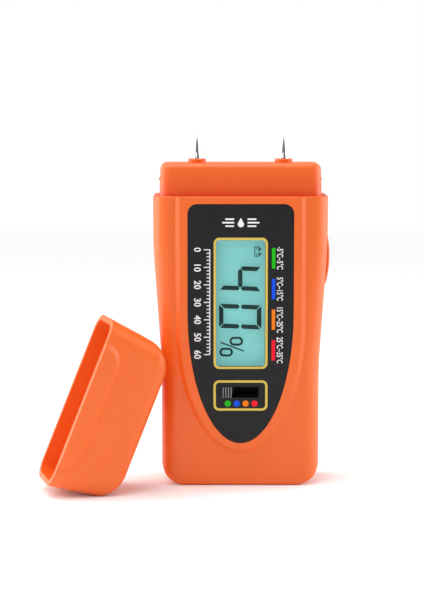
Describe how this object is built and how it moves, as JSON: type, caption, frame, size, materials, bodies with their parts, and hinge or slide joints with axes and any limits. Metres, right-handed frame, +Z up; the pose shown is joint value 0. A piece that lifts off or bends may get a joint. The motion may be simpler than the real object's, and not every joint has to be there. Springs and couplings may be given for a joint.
{
  "type": "pin-type moisture meter",
  "caption": "Handheld pin moisture meter: waisted case with raised label shield, display, slide switch, side button, steel electrode pins and a pull-off cap set down beside it.",
  "frame": {"origin": "middle of the foot face that the meter stands on", "axes": "+Z up towards the electrode pins, front face towards -Y, +X to the right seen from the front"},
  "size_m": [0.1138, 0.0557, 0.1376],
  "materials": {
    "orange_shell": "fine satin ABS",
    "black_film": "satin printed film",
    "clear_window": "clear acrylic",
    "lcd_glass": "clear liquid crystal cell",
    "teal_reflector": "pale teal film",
    "pink_rubber": "soft silicone",
    "black_plastic": "moulded black plastic",
    "board_green": "solder mask",
    "capacitor_sleeve": "printed sleeve",
    "tinned_metal": "tinned sheet",
    "blue_plastic": "moulded blue",
    "steel": "zinc plated",
    "pin_chrome": "polished",
    "brass": "turned",
    "lead_white": "pvc insulation",
    "lead_red": "pvc insulation",
    "lead_black": "pvc insulation",
    "battery_wrap": "printed steel can",
    "foam": "closed cell foam"
  },
  "bodies": {
    "root": {"front_cover": "orange_shell", "rear_cover": "orange_shell", "face_label": "black_film", "display_window": "clear_window", "lcd_glass": "lcd_glass", "lcd_reflector": "teal_reflector", "zebra_strips": "pink_rubber", "lcd_holder": "black_plastic", "main_board": "board_green", "main_chip": "black_plastic", "amplifier_chips": "black_plastic", "chip_resistors": "black_plastic", "power_capacitors": "capacitor_sleeve", "clock_crystal": "tinned_metal", "trim_pot": "blue_plastic", "board_screws": "steel", "switch_bezel": "black_plastic", "switch_body": "black_plastic", "tact_switch": "black_plastic", "electrode_pin_left": "pin_chrome", "electrode_pin_right": "pin_chrome", "pin_socket_left": "brass", "pin_socket_right": "brass", "electrode_lead_left": "lead_white", "electrode_lead_right": "lead_white", "battery": "battery_wrap", "battery_terminals": "tinned_metal", "battery_snap": "black_plastic", "battery_lead_black": "lead_black", "battery_lead_red": "lead_red", "battery_pad": "foam", "case_screws": "steel"},
    "cap": {"cap": "orange_shell"},
    "switch_knob": {"switch_knob": "black_plastic"},
    "test_button": {"test_button": "orange_shell"},
    "tact_plunger": {"tact_plunger": "black_plastic"},
    "battery_door": {"battery_door": "orange_shell"}
  },
  "joints": [
    {"name": "cap_pull", "type": "slide", "parent": "root", "child": "cap", "axis": [-0.8917, -0.2456, 0.3803], "range_m": [0, 0.055]},
    {"name": "range_switch", "type": "slide", "parent": "root", "child": "switch_knob", "axis": [1, 0, 0], "range_m": [0, 0.01044]},
    {"name": "button_press", "type": "slide", "parent": "root", "child": "test_button", "axis": [-1, 0, 0], "range_m": [0, 0.0006], "stiffness_N_per_m": 900, "springref_m": -0.0003},
    {"name": "plunger_press", "type": "slide", "parent": "root", "child": "tact_plunger", "axis": [-1, 0, 0], "range_m": [0, 0.0006]},
    {"name": "door_hinge", "type": "hinge", "parent": "root", "child": "battery_door", "pos_m": [0, 0.01305, 0.00495], "axis": [-1, 0, 0], "range_deg": [0, 60]}
  ],
  "couplings": [
    {"joint": "plunger_press", "follows": "button_press", "ratio": 1}
  ]
}
